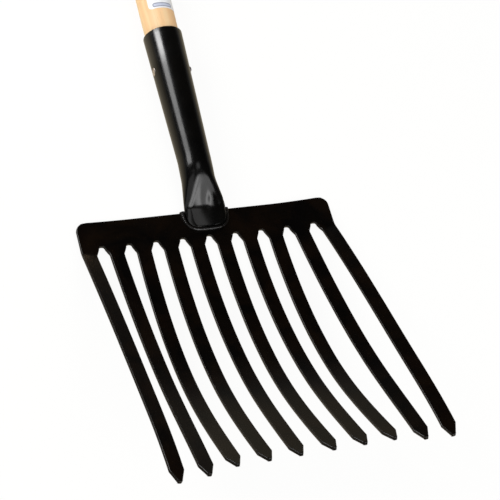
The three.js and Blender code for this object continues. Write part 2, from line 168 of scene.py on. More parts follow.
# Welds: stations along the foot's edge, and radii along the whole bead from left to right
WELD_STATIONS = (0.5, 1.9, 4.2, 7.8, 12.5, 17.0, 20.4)
WELD_RADII = [3.0, 2.4, 1.9, 1.8, 1.9, 2.1, 2.0, 1.9, 1.9, 1.8, 1.7, 1.7, 1.8, 2.2, 2.6]
WELD_OUT = 1.5
WELD_RISE = 1.3
WELD_SHIFT = 1.4
WELD_SLOPE_STEP = 0.1
REAR_WELD_HALF = 24.0
REAR_WELD_OUT = 1.2
REAR_WELD_RADIUS = 1.5
BEAD_SIDES = 20
BEAD_STEPS = 14
BEAD_END_STEPS = 5
BEAD_END_SHARE = 0.05
RIPPLE_LENGTH = 1.9
RIPPLE_CURVE = 0.12
RIPPLE_DEPTH = 0.05
LUMP_LENGTH = 2.6
LUMP_PLACE = Vector((0.0, 0.0, 7.0))
LUMP_DEPTH = 0.1

# Rivet
SHANK_RADIUS = 2.2
SHANK_CLEARANCE = 0.3
SET_HEAD_SEAT = 16.596
SET_HEAD_RADIUS = 4.7
SET_HEAD_EDGE = 0.1
SET_HEAD_BULGE = 0.7
SET_HEAD_HOLE = 5.0
SET_HEAD_HOLE_SHIFT = Vector((0.0, -0.3, 0.3))
SET_HEAD_HEIGHT = 3.4
BUTTON_RADIUS = 3.2
BUTTON_HEIGHT = 2.3
BUTTON_CLEARANCE = 0.05
BUTTON_FOOT = 0.97
BUTTON_SIDE = 0.12
RIVET_SIDES = 40
RIVET_WOBBLE = 0.05
WOBBLE_SPREAD = 0.8
WOBBLE_LENGTH = 90.0
WOBBLE_PLACE = 3.0
# Radius at which a domed end is closed flat
POLE_RADIUS = 0.02

# Shaft and grip
SHAFT_RADIUS = 18.2
INSERT = 130.0
SHAFT_LENGTH = 620.0
SHAFT_FULL_START = 18.2
SHAFT_CHAMFER = 0.8
SHAFT_NECK_RADIUS = 14.5
SHAFT_NECK_LENGTH = 90.0
BAR_LENGTH = 128.0
BAR_RADIUS = 16.94
BAR_END_RADIUS = 13.5
BAR_END_ROUND = 4.0
SEAT_CUT = 4.0
TENON_RADIUS = 9.5
TENON_CHAMFER = 0.5
TENON_CLEARANCE = 0.1
SEAT_CLEARANCE = 0.15
SHOULDER = SHAFT_LENGTH - BAR_RADIUS + SEAT_CUT
TENON_END = SHAFT_LENGTH + BAR_RADIUS - SEAT_GAP
WEDGE_THICK = 3.2
WEDGE_POINT = 0.8
WEDGE_DEPTH = 22.0
WEDGE_INSET = 1.5
WEDGE_EDGE = 0.25
WOOD_SIDES = 96
CUT_OVERRUN = 4.0

# Label, and the plain frame printed near its lower end
LABEL_LIFT = 0.06
LABEL_THICK = 0.16
LABEL_COLUMNS = 40
LABEL_ROWS = 60
LABEL_START = 24.0
LABEL_LENGTH = 60.0
LABEL_HALF_ANGLE = 58.0
LABEL_TURN = 16.5
LABEL_CORNER = 4.0
FRAME_START = 2.2
FRAME_HEIGHT = 3.8
FRAME_HALF_WIDTH = 10.6
FRAME_SHIFT = -2.6
FRAME_CORNER = 1.5
FRAME_LINE = 0.9
FRAME_SOFT = 0.2
PAPER_TONES = ((0.72, 0.73, 0.745), (0.78, 0.78, 0.79))
FRAME_INSIDE = (0.48, 0.51, 0.61)
FRAME_INK = (0.24, 0.255, 0.33)

# Drawing frames: the middle of the band's back lies where the record's mount says
BAND_BACK = next(mount for mount in frame["record"]["mounts"] if mount["name"] == "band_back")
HEAD = (
    Matrix.Translation(BAND_BACK["pos_m"])
    @ Matrix.Rotation(math.atan2(BAND_BACK["axis"][1], -BAND_BACK["axis"][2]), 4, "X")
    @ Matrix.Scale(MM, 4)
    @ Matrix.Translation((0.0, -BAND_HEIGHT / 2, THICKNESS))
)
NECK_CENTRE = Vector((0.0, FOOT_END_Y + PRESS_LENGTH, SEAT_GAP + NECK_RISE + NECK_RADIUS))
AXIS = Vector((0.0, math.cos(AXIS_LIFT), math.sin(AXIS_LIFT)))
MOUTH_CENTRE = NECK_CENTRE + AXIS * ROUND_LENGTH
TUBE_TOP_SLOPE = math.tan(AXIS_LIFT) + (MOUTH_RADIUS - NECK_RADIUS) / ROUND_LENGTH
HANDLE_PLACE = MOUTH_CENTRE + Vector((TUBE_SHIFT, 0.0, 0.0))
HANDLE = HEAD @ Matrix.Translation(HANDLE_PLACE) @ Matrix.Rotation(AXIS_LIFT, 4, "X")


def mix(a, b, t):
    return a + (b - a) * t


def clamp01(t):
    return min(max(t, 0.0), 1.0)


def smooth(t):
    t = clamp01(t)
    return t * t * (3 - 2 * t)


def steps(start, end, count):
    return [mix(start, end, k / count) for k in range(count + 1)]


def quarter_sines(count):
    return [math.sin(math.pi / 2 * t) for t in steps(0.0, 1.0, count)]


def spline(a, b, c, d, t):
    """A place between b and c on the smooth curve through all four."""
    m0, m1 = (c - a) / 2, (d - b) / 2
    return b + m0 * t + (3 * (c - b) - 2 * m0 - m1) * t * t + (2 * (b - c) + m0 + m1) * t**3


def round_end(share, roundness):
    """Half width of a rounded end, from 0 at its tip to 1 where it is full."""
    return (1 - (1 - clamp01(share)) ** roundness) ** (1 / roundness)


def rounding(radius, turn):
    """How far a rounded edge stays short of its two faces at this turn."""
    return radius * (1 - math.sin(turn)), radius * (1 - math.cos(turn))


def shade(colour, share):
    return tuple(level * share for level in colour)


# Materials
class Look:
    """A node material that is built line by line."""

    def __init__(self, name):
        self.material = bpy.data.materials.new(name)
        self.material.use_nodes = True
        self.tree = self.material.node_tree
        self.shader = self.tree.nodes["Principled BSDF"]
        self.place = self.node("ShaderNodeTexCoord").outputs["Object"]

    def node(self, kind, **settings):
        made = self.tree.nodes.new(kind)
        for key, value in settings.items():
            setattr(made, key, value)
        return made

    def join(self, out, into):
        """Link an output to an input, or set the input to a plain value."""
        if isinstance(out, bpy.types.NodeSocket):
            self.tree.links.new(out, into)
        else:
            into.default_value = out

    def stretched(self, scale):
        """The object's own coordinates, stretched where the scale is under 1."""
        made = self.node("ShaderNodeMapping")
        self.join(self.place, made.inputs["Vector"])
        made.inputs["Scale"].default_value = scale
        return made.outputs["Vector"]

    def noise(self, scale, detail=3.0, rough=0.55, where=None, warp=0.0):
        """Noise whose scale is in waves per metre."""
        made = self.node("ShaderNodeTexNoise")
        self.join(where or self.place, made.inputs["Vector"])
        made.inputs["Scale"].default_value = scale
        made.inputs["Detail"].default_value = detail
        made.inputs["Roughness"].default_value = rough
        made.inputs["Distortion"].default_value = warp
        return made.outputs["Fac"]

    def ramp(self, factor, stops):
        """Colours between stops, each a place from 0 to 1 and a colour."""
        made = self.node("ShaderNodeValToRGB")
        band = made.color_ramp
        while len(band.elements) < len(stops):
            band.elements.new(0.5)
        for element, (at, colour) in zip(band.elements, stops):
            element.position = at
            element.color = (*colour, 1.0)
        self.join(factor, made.inputs["Fac"])
        return made.outputs["Color"]

    def span(self, value, low, high, to_low, to_high):
        """The value brought from the first range to the second, and held at its ends."""
        made = self.node("ShaderNodeMapRange")
        self.join(value, made.inputs["Value"])
        for key, number in (("From Min", low), ("From Max", high), ("To Min", to_low), ("To Max", to_high)):
            made.inputs[key].default_value = number
        return made.outputs["Result"]

    def math(self, operation, *values):
        made = self.node("ShaderNodeMath", operation=operation)
        for slot, value in enumerate(values):
            self.join(value, made.inputs[slot])
        return made.outputs["Value"]

    def blend(self, factor, a, b):
        """From a to b, each an output or a colour, as the factor goes from 0 to 1."""
        made = self.node("ShaderNodeMix", data_type="RGBA")
        self.join(factor, made.inputs["Factor"])
        for key, value in (("A", a), ("B", b)):
            socket = [s for s in made.inputs if s.name == key and s.type == "RGBA"][0]
            self.join((*value, 1.0) if isinstance(value, tuple) else value, socket)
        return [s for s in made.outputs if s.type == "RGBA"][0]

    def colour(self, out):
        self.join(out, self.shader.inputs["Base Color"])

    def rough(self, out):
        self.join(out, self.shader.inputs["Roughness"])

    def bump(self, *layers):
        """Each layer is a height output, a strength and a depth in metres."""
        before = None
        for height, strength, depth in layers:
            made = self.node("ShaderNodeBump")
            made.inputs["Strength"].default_value = strength
            made.inputs["Distance"].default_value = depth
            self.join(height, made.inputs["Height"])
            if before:
                self.join(before, made.inputs["Normal"])
            before = made.outputs["Normal"]
        self.join(before, self.shader.inputs["Normal"])

    def set(self, **values):
        """Plain values for the shader's own inputs."""
        for key, value in values.items():
            self.shader.inputs[key.replace("_", " ")].default_value = value


def black_paint(name, low, high, roughness, gloss, ripple=0.0, mouth_gloss=None):
    """Black paint; mouth_gloss is the gloss of the glossier stretch next to the socket's mouth."""
    look = Look(name)
    patches = look.noise(26.0, 4.0, 0.6, warp=0.6)
    look.colour(look.ramp(patches, [(0.36, low), (0.66, high)]))
    look.rough(look.span(look.noise(90.0, 3.0), 0.3, 0.7, roughness - 0.02, roughness + 0.02))
    waves, specks = look.noise(120.0, 2.0, 0.5), look.noise(1300.0, 2.0, 0.5)
    layers = [(waves, 0.06, 0.0004), (specks, 0.03, 0.0001)]
    if ripple:
        layers.insert(0, (look.noise(420.0, 2.0, 0.5), ripple, 0.0006))
    look.bump(*layers)
    look.set(Specular_IOR_Level=gloss)
    if mouth_gloss:
        place = look.node("ShaderNodeSeparateXYZ")
        look.join(look.place, place.inputs["Vector"])
        low_y, high_y = [(HANDLE @ Vector((0.0, -below, 0.0))).y for below in MOUTH_GLOSS_ENDS]
        level = look.span(place.outputs["Y"], low_y, high_y, gloss, mouth_gloss)
        look.join(level, look.shader.inputs["Specular IOR Level"])
    return look.material


def ash(name, pale, warm, dark):
    """Ash along Y: broad rings of growth under fine fibres and pores."""
    look = Look(name)
    grain = look.stretched((1.0, 0.035, 1.0))
    drift = look.noise(16.0, 2.0, 0.5, where=look.stretched((1.0, 0.12, 1.0)))
    rings = look.node("ShaderNodeTexWave", wave_type="BANDS", bands_direction="DIAGONAL")
    look.join(grain, rings.inputs["Vector"])
    rings.inputs["Scale"].default_value = 46.0
    rings.inputs["Distortion"].default_value = 7.0
    rings.inputs["Detail"].default_value = 2.0
    rings.inputs["Detail Scale"].default_value = 1.4
    fibres = look.noise(900.0, 4.0, 0.65, where=look.stretched((1.0, 0.02, 1.0)))
    pores = look.noise(1500.0, 1.0, 0.4, where=look.stretched((1.0, 0.03, 1.0)))
    late = tuple(mix(a, b, 0.5) for a, b in zip(warm, dark))
    body = look.ramp(rings.outputs["Fac"], [(0.0, pale), (0.75, warm), (1.0, late)])
    tone = look.ramp(drift, [(0.3, pale), (0.7, warm)])
    mixed = look.blend(0.55, body, tone)
    streaked = look.blend(look.span(fibres, 0.35, 0.75, 0.0, 0.16), mixed, dark)
    flecked = look.blend(look.span(pores, 0.64, 0.74, 0.0, 0.35), streaked, shade(dark, 0.62))
    look.colour(flecked)
    look.rough(look.span(fibres, 0.3, 0.7, 0.42, 0.58))
    look.bump((pores, 0.18, -0.0003), (fibres, 0.1, 0.0003))
    look.set(Specular_IOR_Level=0.4)
    return look.material


def end_grain(name, pale, dark):
    """Ash cut across, with its pores as dots."""
    look = Look(name)
    rings = look.node("ShaderNodeTexWave", wave_type="RINGS", rings_direction="Y")
    look.join(look.place, rings.inputs["Vector"])
    rings.inputs["Scale"].default_value = 210.0
    rings.inputs["Distortion"].default_value = 2.0
    pores = look.noise(2200.0, 2.0, 0.6)
    body = look.ramp(rings.outputs["Fac"], [(0.0, pale), (1.0, dark)])
    look.colour(look.blend(look.span(pores, 0.55, 0.7, 0.0, 0.6), body, shade(dark, 0.55)))
    look.rough(look.span(pores, 0.3, 0.7, 0.5, 0.7))
    look.bump((pores, 0.3, -0.0003))
    return look.material


def zinc(name, dull, bright):
    """Zinc, beaten and a little dull."""
    look = Look(name)
    fine = look.noise(700.0, 4.0, 0.6)
    look.colour(look.ramp(fine, [(0.35, dull), (0.6, bright)]))
    look.rough(look.span(fine, 0.3, 0.7, 0.25, 0.45))
    look.bump((look.noise(420.0, 2.0), 0.5, 0.0004))
    look.set(Metallic=1.0)
    return look.material


def label_paper(name):
    """White paper with a small plain frame near its lower end, drawn on the flat sheet's own coordinates."""
    look = Look(name)
    flat = look.node("ShaderNodeSeparateXYZ")
    look.join(look.node("ShaderNodeUVMap", uv_map="flat").outputs["UV"], flat.inputs["Vector"])
    half_u, half_v = FRAME_HALF_WIDTH, FRAME_HEIGHT / 2
    centre_v = FRAME_START + half_v - LABEL_LENGTH / 2
    from_u = look.math("ABSOLUTE", look.math("SUBTRACT", flat.outputs["X"], FRAME_SHIFT))
    from_v = look.math("ABSOLUTE", look.math("SUBTRACT", flat.outputs["Y"], centre_v))
    far_u = look.math("SUBTRACT", from_u, half_u - FRAME_CORNER)
    far_v = look.math("SUBTRACT", from_v, half_v - FRAME_CORNER)
    out_u = look.math("MAXIMUM", far_u, 0.0)
    out_v = look.math("MAXIMUM", far_v, 0.0)
    squares = [look.math("POWER", out, 2.0) for out in (out_u, out_v)]
    outside = look.math("SQRT", look.math("ADD", *squares))
    inside = look.math("MINIMUM", look.math("MAXIMUM", far_u, far_v), 0.0)
    beyond = look.math("SUBTRACT", look.math("ADD", outside, inside), FRAME_CORNER)
    line = look.span(look.math("ABSOLUTE", beyond), FRAME_LINE / 2, FRAME_LINE / 2 + FRAME_SOFT, 1.0, 0.0)
    within = look.span(beyond, -FRAME_SOFT, 0.0, 1.0, 0.0)
    fibre = look.noise(800.0, 3.0, 0.6)
    paper = look.ramp(fibre, list(zip((0.3, 0.7), PAPER_TONES)))
    look.colour(look.blend(line, look.blend(within, paper, FRAME_INSIDE), FRAME_INK))
    look.rough(look.span(fibre, 0.3, 0.7, 0.32, 0.42))
    look.bump((fibre, 0.06, 0.0001))
    return look.material


PLATE_PAINT = black_paint("plate_paint", (0.0006, 0.0003, 0.0001), (0.0034, 0.0015, 0.0004), 0.24, 0.3)
# Paint of the rounded edges: glossier than the plate, and lighter and greyer in colour as a painted
# highlight along them
EDGE_HIGHLIGHT_PAINT = black_paint("edge_highlight_paint", (0.0020, 0.0014, 0.0010), (0.0050, 0.0030, 0.0018), 0.26, 0.6)
TUBE_PAINT = black_paint(
    "tube_paint", (0.0004, 0.0003, 0.0002), (0.0014, 0.0011, 0.0007), 0.2, 0.66, mouth_gloss=1.0
)
WELD_PAINT = black_paint(
    "weld_paint", (0.0010, 0.0007, 0.0005), (0.0040, 0.0026, 0.0018), 0.26, 0.8, ripple=0.08
)
SHAFT_ASH = ash("shaft_ash", (0.76, 0.56, 0.32), (0.76, 0.465, 0.232), (0.69, 0.40, 0.20))
GRIP_ASH = ash("grip_ash", (0.70, 0.53, 0.33), (0.66, 0.43, 0.22), (0.53, 0.31, 0.14))
ASH_END = end_grain("ash_end", (0.64, 0.47, 0.30), (0.49, 0.31, 0.155))
ZINC = zinc("rivet_zinc", (0.50, 0.43, 0.42), (0.86, 0.80, 0.77))
# The rivet's button end: the same zinc, darker and a little purple
BUTTON_ZINC = zinc("button_zinc", (0.22, 0.20, 0.25), (0.40, 0.37, 0.43))
PAPER = label_paper("label_paper")


# Meshes
class Build:
    """Points that are joined where they meet, and the faces between them."""

    def __init__(self):
        self.points = []
        self.found = {}
        self.faces = []

    def point(self, at):
        key = (round(at[0], 4), round(at[1], 4), round(at[2], 4))
        if key not in self.found:
            self.found[key] = len(self.points)
            self.points.append(Vector(at))
        return self.found[key]

    def ring(self, ring):
        return [self.point(at) for at in ring]

    def face(self, *corners):
        face = []
        for corner in corners:
            if corner not in face:
                face.append(corner)
        if len(face) > 2:
            self.faces.append(face)

    def solid(self, rings):
        """A closed sleeve over rings that turn counterclockwise seen from the last one."""
        rings = [self.ring(ring) for ring in rings]
        for low, high in zip(rings, rings[1:]):
            for j in range(len(low)):
                k = (j + 1) % len(low)
                self.face(low[j], low[k], high[k], high[j])
        self.face(*rings[0][::-1])
        self.face(*rings[-1])


def put(name, data):
    """An object in the scene that holds this mesh, lamp or camera."""
    made = bpy.data.objects.new(name, data)
    bpy.context.scene.collection.objects.link(made)
    return made


def piece(name, build, matrix, materials, node, sharp=40.0):
    """A visual piece in the fork's one body; edges sharper than the angle in degrees stay sharp."""
    mesh = bpy.data.meshes.new(name)
    mesh.from_pydata([matrix @ at for at in build.points], [], build.faces)
    mesh.validate()
    for material in materials:
        mesh.materials.append(material)
    mesh.polygons.foreach_set("use_smooth", [True] * len(mesh.polygons))
    mesh.set_sharp_from_angle(angle=math.radians(sharp))
    made = put(name, mesh)
    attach(made, "root")
    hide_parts(node)
    return made


def rounded_edges(made, width, segments, angle, edge_material=0):
    """Round every edge sharper than the angle in degrees."""
    bevel = made.modifiers.new("rounding", "BEVEL")
    bevel.width = width * MM
    bevel.segments = segments
    bevel.limit_method = "ANGLE"
    bevel.angle_limit = math.radians(angle)
    bevel.use_clamp_overlap = False
    bevel.harden_normals = True
    bevel.material = edge_material


def cut_away(made, *cutters):
    """Take cutters drawn in the handle's frame out of a piece."""
    for build in cutters:
        mesh = bpy.data.meshes.new("cutter")
        mesh.from_pydata([HANDLE @ at for at in build.points], [], build.faces)
        tool = put("cutter", mesh)
        cut = made.modifiers.new("cut", "BOOLEAN")
        cut.operation = "DIFFERENCE"
        cut.solver = "EXACT"
        cut.object = tool
        bpy.context.view_layer.update()
        shaped = made.evaluated_get(bpy.context.evaluated_depsgraph_get())
        result = bpy.data.meshes.new_from_object(shaped)
        made.modifiers.clear()
        made.data = result
        bpy.data.objects.remove(tool)


def rod(radius, start, end, axis, at, sides=48):
    """A plain round cutter along X or Y of its frame."""
    build = Build()
    rings = []
    for along in (start, end):
        ring = []
        for j in range(sides):
            turn = 2 * math.pi * j / sides
            u, v = radius * math.cos(turn), radius * math.sin(turn)
            ring.append(at + (Vector((along, u, v)) if axis == "X" else Vector((v, along, u))))
        rings.append(ring)
    build.solid(rings)
    return build


# Head
def body_half(along):
    return mix(ROOT_WIDTH, TIP_WIDTH, along / TINE_LENGTH) / 2


def slot_half(along):
    if along < SLOT_HEAD_RADIUS:
        return math.sqrt(SLOT_HEAD_RADIUS**2 - (SLOT_HEAD_RADIUS - along) ** 2)
    share = (along - SLOT_HEAD_RADIUS) / (SLOT_HEAD_LENGTH - SLOT_HEAD_RADIUS)
    return mix(SLOT_HEAD_RADIUS, PITCH / 2 - body_half(along), clamp01(share))


def tine_half(along):
    if along <= 0:
        return PITCH / 2
    if along < SLOT_HEAD_LENGTH:
        return PITCH / 2 - slot_half(along)
    to_tip = TINE_LENGTH - along
    if to_tip >= TIP_TAPER:
        return body_half(along)
    if to_tip > TIP_ROUND:
        share = (to_tip - TIP_ROUND) / (TIP_TAPER - TIP_ROUND)
        return mix(TIP_SHOULDER / 2, body_half(TINE_LENGTH - TIP_TAPER), share)
    return mix(TIP_END, TIP_SHOULDER, math.sqrt(max(to_tip, 0.0) / TIP_ROUND)) / 2


def outer_half(along):
    if along > SLOT_HEAD_LENGTH:
        return tine_half(along)
    body = body_half(max(along, 0.0))
    into = -along - (BAND_HEIGHT - BAND_CORNER)
    if into <= 0:
        return body
    return body - BAND_CORNER + math.sqrt(max(BAND_CORNER**2 - into**2, 0.0))


def end_rise(x):
    return LEFT_END_RISE if x < 0 else RIGHT_END_RISE


def end_share(x):
    return max(abs(x) - FLAT_HALF, 0.0) / END_WIDTH


def band_rise(x):
    return end_rise(x) * end_share(x) ** 2


def band_slope(x):
    return math.copysign(math.atan(2 * end_rise(x) * end_share(x) / END_WIDTH), x)


def lean_line(leans):
    """Lean, Y and Z every step along a tine's centre line, and one step past its tip."""
    ends = [2 * leans[0] - leans[1], *leans, 2 * leans[-1] - leans[-2]]
    line = [(0.0, -BEND_START, 0.0)]
    for k in range(1, LEAN_STEPS + 2):
        place = min(k / LEAN_STEPS, 1.0) * (len(leans) - 1)
        span = min(int(place), len(leans) - 2)
        degrees = spline(*ends[span : span + 4], place - span)
        lean = math.radians(degrees) * clamp01(k * LEAN_STEP / ROOT_BEND)
        middle = (lean + line[-1][0]) / 2
        y = line[-1][1] - math.cos(middle) * LEAN_STEP
        z = line[-1][2] + math.sin(middle) * LEAN_STEP
        line.append((lean, y, z))
    return line


LEAN_LINES = [lean_line(kind[0]) for kind in TINE_KINDS]


def bend_at(kind, along):
    """Lean, Y and Z of a tine's centre line at this length."""
    if along <= BEND_START:
        return 0.0, -along, 0.0
    place = (along - BEND_START) / LEAN_STEP
    low = int(place)
    t = place - low
    return tuple(mix(a, b, t) for a, b in zip(LEAN_LINES[kind][low], LEAN_LINES[kind][low + 1]))


def plate_point(index, sideways, along, below):
    """Where a place on a flat tine comes to lie: beside its middle, along it, and below its hollow face."""
    kind = min(index, TINES - 1 - index)
    _, roll_degrees, splay_share = TINE_KINDS[kind]
    belly, tip = TINE_SWAY[index]
    outward = -1 if index < TINES / 2 else 1
    root_x = (index - (TINES - 1) / 2) * PITCH
    share = clamp01(along / TINE_LENGTH)
    lean, y, z = bend_at(kind, along)
    merge = smooth(along / ROOT_BLEND)
    roll = math.radians(roll_degrees) * outward
    tilt = mix(band_slope(root_x + sideways), roll, merge)
    rise = mix(band_rise(root_x + sideways) - band_rise(root_x), sideways * math.sin(roll), merge)
    sway = belly * BELLY_PEAK * share**2 * (1 - share) + tip * share**2
    x = root_x + outward * splay_share * max(along, 0.0) + sideways * mix(1.0, math.cos(roll), merge) + sway
    x += RIGHT_END_SHIFT * smooth((x - RIGHT_END_SHIFT_START) / RIGHT_END_SHIFT_REACH) * (1 - share)
    wave = noise.noise(Vector((x / WARP_ACROSS, y / WARP_ALONG, 0.0)))
    warp = PLATE_WARP * clamp01(1 + along / BAND_HEIGHT) * wave
    up = rise + warp - below * math.cos(tilt)
    return Vector(
        (x + below * math.sin(tilt), y + up * math.sin(lean), z + band_rise(root_x) + up * math.cos(lean))
    )


def head_stations():
    """Places along a tine from the band's top edge to the tip, closer together where the outline turns."""
    straight = BAND_HEIGHT - BAND_CORNER
    taper = TINE_LENGTH - TIP_TAPER
    band = [-straight - BAND_CORNER * t for t in reversed(quarter_sines(10))]
    band += steps(-straight, 0.0, 6)[1:-1]
    slot = [SLOT_HEAD_RADIUS * (1 - t) for t in reversed(quarter_sines(6))]
    body = steps(SLOT_HEAD_RADIUS, SLOT_HEAD_LENGTH, 4)[1:-1] + steps(SLOT_HEAD_LENGTH, taper, 90)
    tip = steps(taper, TINE_LENGTH - TIP_ROUND, 4)[1:]
    end = [TINE_LENGTH - TIP_ROUND * (1 - t) ** 2 for t in steps(0.0, 1.0, 3)[1:]]
    return band + slot + body + tip + end


def make_head():
    """The band and its tines, tine by tine; neighbours are joined where they share the band."""
    build = Build()
    stations = head_stations()
    for index in range(TINES):
        first, last = index == 0, index == TINES - 1
        rows = []
        for along in stations:
            left = outer_half(along) if first else tine_half(along)
            right = outer_half(along) if last else tine_half(along)
            across = [mix(-left, right, c) for c in HEAD_COLUMNS]
            top = build.ring([plate_point(index, x, along, 0.0) for x in across])
            back = build.ring([plate_point(index, x, along, THICKNESS) for x in across])
            rows.append((along, top, back))
        for (along, top, back), (_, top2, back2) in zip(rows, rows[1:]):
            for j in range(len(HEAD_COLUMNS) - 1):
                build.face(top2[j], top2[j + 1], top[j + 1], top[j])
                build.face(back2[j], back[j], back[j + 1], back2[j + 1])
            free = along >= 0
            if free or first:
                build.face(top[0], back[0], back2[0], top2[0])
            if free or last:
                build.face(top[-1], top2[-1], back2[-1], back[-1])
        for (_, top, back), order in ((rows[0], 1), (rows[-1], -1)):
            for j in range(len(HEAD_COLUMNS) - 1):
                corners = (top[j], top[j + 1], back[j + 1], back[j])
                build.face(*corners[::order])
    # The rounded edges take the second paint, whose lighter colour is a painted highlight
    paints = [PLATE_PAINT, EDGE_HIGHLIGHT_PAINT]
    head = piece("fork_head_plate", build, HEAD, paints, "fork_head", sharp=180.0)
    rounded_edges(head, EDGE_ROUND, segments=4, angle=50.0, edge_material=1)


# Socket
def foot_end_share(along):
    return round_end(along / FOOT_SEAT, FOOT_ROUNDNESS)


def facet_half(along):
    if along < FACET_WIDEST:
        return FACET_HALF * round_end(along / FACET_WIDEST, FACET_ROUNDNESS)
    return FACET_HALF * (1 - clamp01((along - FACET_WIDEST) / (FACET_LENGTH - FACET_WIDEST)))


def tube_top(along):
    """The line of the round tube's top, carried on into the pressed part."""
    return NECK_CENTRE.z + NECK_RADIUS + (along - PRESS_LENGTH) * TUBE_TOP_SLOPE


def foot_top(along):
    """The flattened foot's top, which falls a little towards its end."""
    before = SLOPE_START - along
    fall = FOOT_SLOPE * (before + math.hypot(before, FOOT_SLOPE_ROUND)) / 2
    return SEAT_GAP + FOOT_THICK - FOOT_DROP - fall


def soft_reach(distance):
    """A ramp that sets in smoothly over SLOPE_ROUND."""
    if distance > SLOPE_ROUND:
        return distance - SLOPE_ROUND / 2
    return max(distance, 0.0) ** 2 / (2 * SLOPE_ROUND)


def pressed_top(along):
    """Height along the facet: the flat foot, a straight slope, and the round tube's top line."""
    steepness = (tube_top(SLOPE_START) - foot_top(SLOPE_START)) / soft_reach(SLOPE_END - SLOPE_START)
    slope = tube_top(along) - steepness * soft_reach(SLOPE_END - along)
    fold = FOLD_ROUND * (1 - smooth((along - FOLD_FADE_START) / FOLD_FADE_REACH))
    return (foot_top(along) + slope + math.hypot(foot_top(along) - slope, fold)) / 2


def pressed_height(side, along, centre, half, high):
    """Front of a pressed section: a crowned flat between round shoulders, with a swelling and a dent."""
    from_centre = side - centre
    reach = half + math.copysign(centre, -from_centre)
    flat = min(facet_half(along), reach - FACET_MARGIN)
    beyond = clamp01((abs(from_centre) - flat) / (reach - flat))
    across = min(abs(from_centre), flat) / FACET_HALF
    lower = mix(*FACET_CROWN, smooth((along - CROWN_START) / CROWN_REACH)) * across**2
    lower += FOOT_TWIST * max(SLOPE_START - along, 0.0) * (1 - math.copysign(across, from_centre)) / 2
    height = (high - lower) * math.sqrt(1 - beyond * beyond)
    for at_x, at_along, wide, long, rise in SWELLINGS:
        off_x, off_along = (from_centre + FACET_CENTRE - at_x) / wide, (along - at_along) / long
        height += rise * math.exp(-(off_x**2) - off_along**2) * (1 - beyond)
    return height


def section_shift(along):
    """How far a pressed section lies to the right."""
    shift = mix(FOOT_SHIFT, NECK_SHIFT, smooth((along - NECK_SHIFT_START) / NECK_SHIFT_REACH))
    return mix(shift, TUBE_SHIFT, smooth((along - TUBE_SHIFT_START) / (PRESS_LENGTH - TUBE_SHIFT_START)))


def socket_ring(along, inset, detailed=True):
    """A section of the socket, pressed below PRESS_LENGTH and round above it."""
    ring = []
    if along <= PRESS_LENGTH:
        end = foot_end_share(along)
        narrowing = smooth((along - FOOT_SEAT) / FOOT_NARROWING)
        swelling = smooth((along - FOOT_SWELL_START) / (PRESS_LENGTH - FOOT_SWELL_START))
        half = mix(FOOT_HALF, NECK_RADIUS, narrowing) * end
        bottom = mix(SEAT_GAP, NECK_CENTRE.z - NECK_RADIUS, swelling)
        top = pressed_top(along) - (FOOT_THICK - FOOT_END_THICK) * (1 - end)
        squareness = mix(FOOT_SQUARENESS, TUBE_SQUARENESS, smooth(along / PRESS_LENGTH))
        centre = Vector((0.0, FOOT_END_Y + along, (bottom + top) / 2))
        tilt = AXIS_LIFT * swelling
        high = (top - bottom) / 2
        shift = section_shift(along)
    else:
        share = (along - PRESS_LENGTH) / ROUND_LENGTH
        half = high = mix(NECK_RADIUS, MOUTH_RADIUS, share)
        squareness, tilt, shift = TUBE_SQUARENESS, AXIS_LIFT, TUBE_SHIFT
        centre = NECK_CENTRE.lerp(MOUTH_CENTRE, share)
    turned = smooth((along - FACET_TURN_START) / FACET_TURN_REACH)
    facet_centre = mix(FACET_CENTRE, TUBE_SHIFT, turned) - shift
    for j in range(SOCKET_SIDES):
        turn = -2 * math.pi * j / SOCKET_SIDES
        c, s = math.cos(turn), math.sin(turn)
        side = (half - inset) * math.copysign(abs(c) ** (2 / squareness), c)
        up = (high - inset) * math.copysign(abs(s) ** (2 / squareness), s)
        if detailed and s > 0 and along < FACET_END:
            up = pressed_height(side, along, facet_centre, half, high)
        z = centre.z + up * math.cos(tilt)
        ring.append(Vector((side + shift, centre.y - up * math.sin(tilt), z)))
    return ring


def make_socket():
    """Up the outside, over the rim, down the hollow, and the rivet's two holes."""
    full = PRESS_LENGTH + ROUND_LENGTH
    stations = FOOT_END_STATIONS + steps(EVEN_STATIONS_START, PRESS_LENGTH, 62)
    stations += steps(PRESS_LENGTH, full - RIM_ROUND, 30)[1:]
    rings = [socket_ring(along, 0.0) for along in stations]
    for t in steps(0.0, math.pi / 2, 4)[1:]:
        below, inset = rounding(RIM_ROUND, t)
        rings.append(socket_ring(full - below, inset))
    for t in steps(math.pi / 2, 0.0, 4):
        below, inset = rounding(RIM_ROUND, t)
        rings.append(socket_ring(full - below, WALL - inset))
    hollow = [full - below for below in HOLLOW_STATIONS] + [PRESS_LENGTH, HOLLOW_END]
    rings += [socket_ring(along, WALL, detailed=False) for along in hollow]
    build = Build()
    build.solid(rings)
    socket = piece("socket_tube", build, HEAD, [TUBE_PAINT], "socket", sharp=35.0)
    reach = MOUTH_RADIUS + CUT_OVERRUN
    at = Vector((0.0, -RIVET_DISTANCE, 0.0))
    cut_away(
        socket,
        rod(SET_HEAD_HOLE, -reach, 0.0, "X", at + SET_HEAD_HOLE_SHIFT),
        rod(SHANK_RADIUS + SHANK_CLEARANCE, 0.0, reach, "X", at),
    )


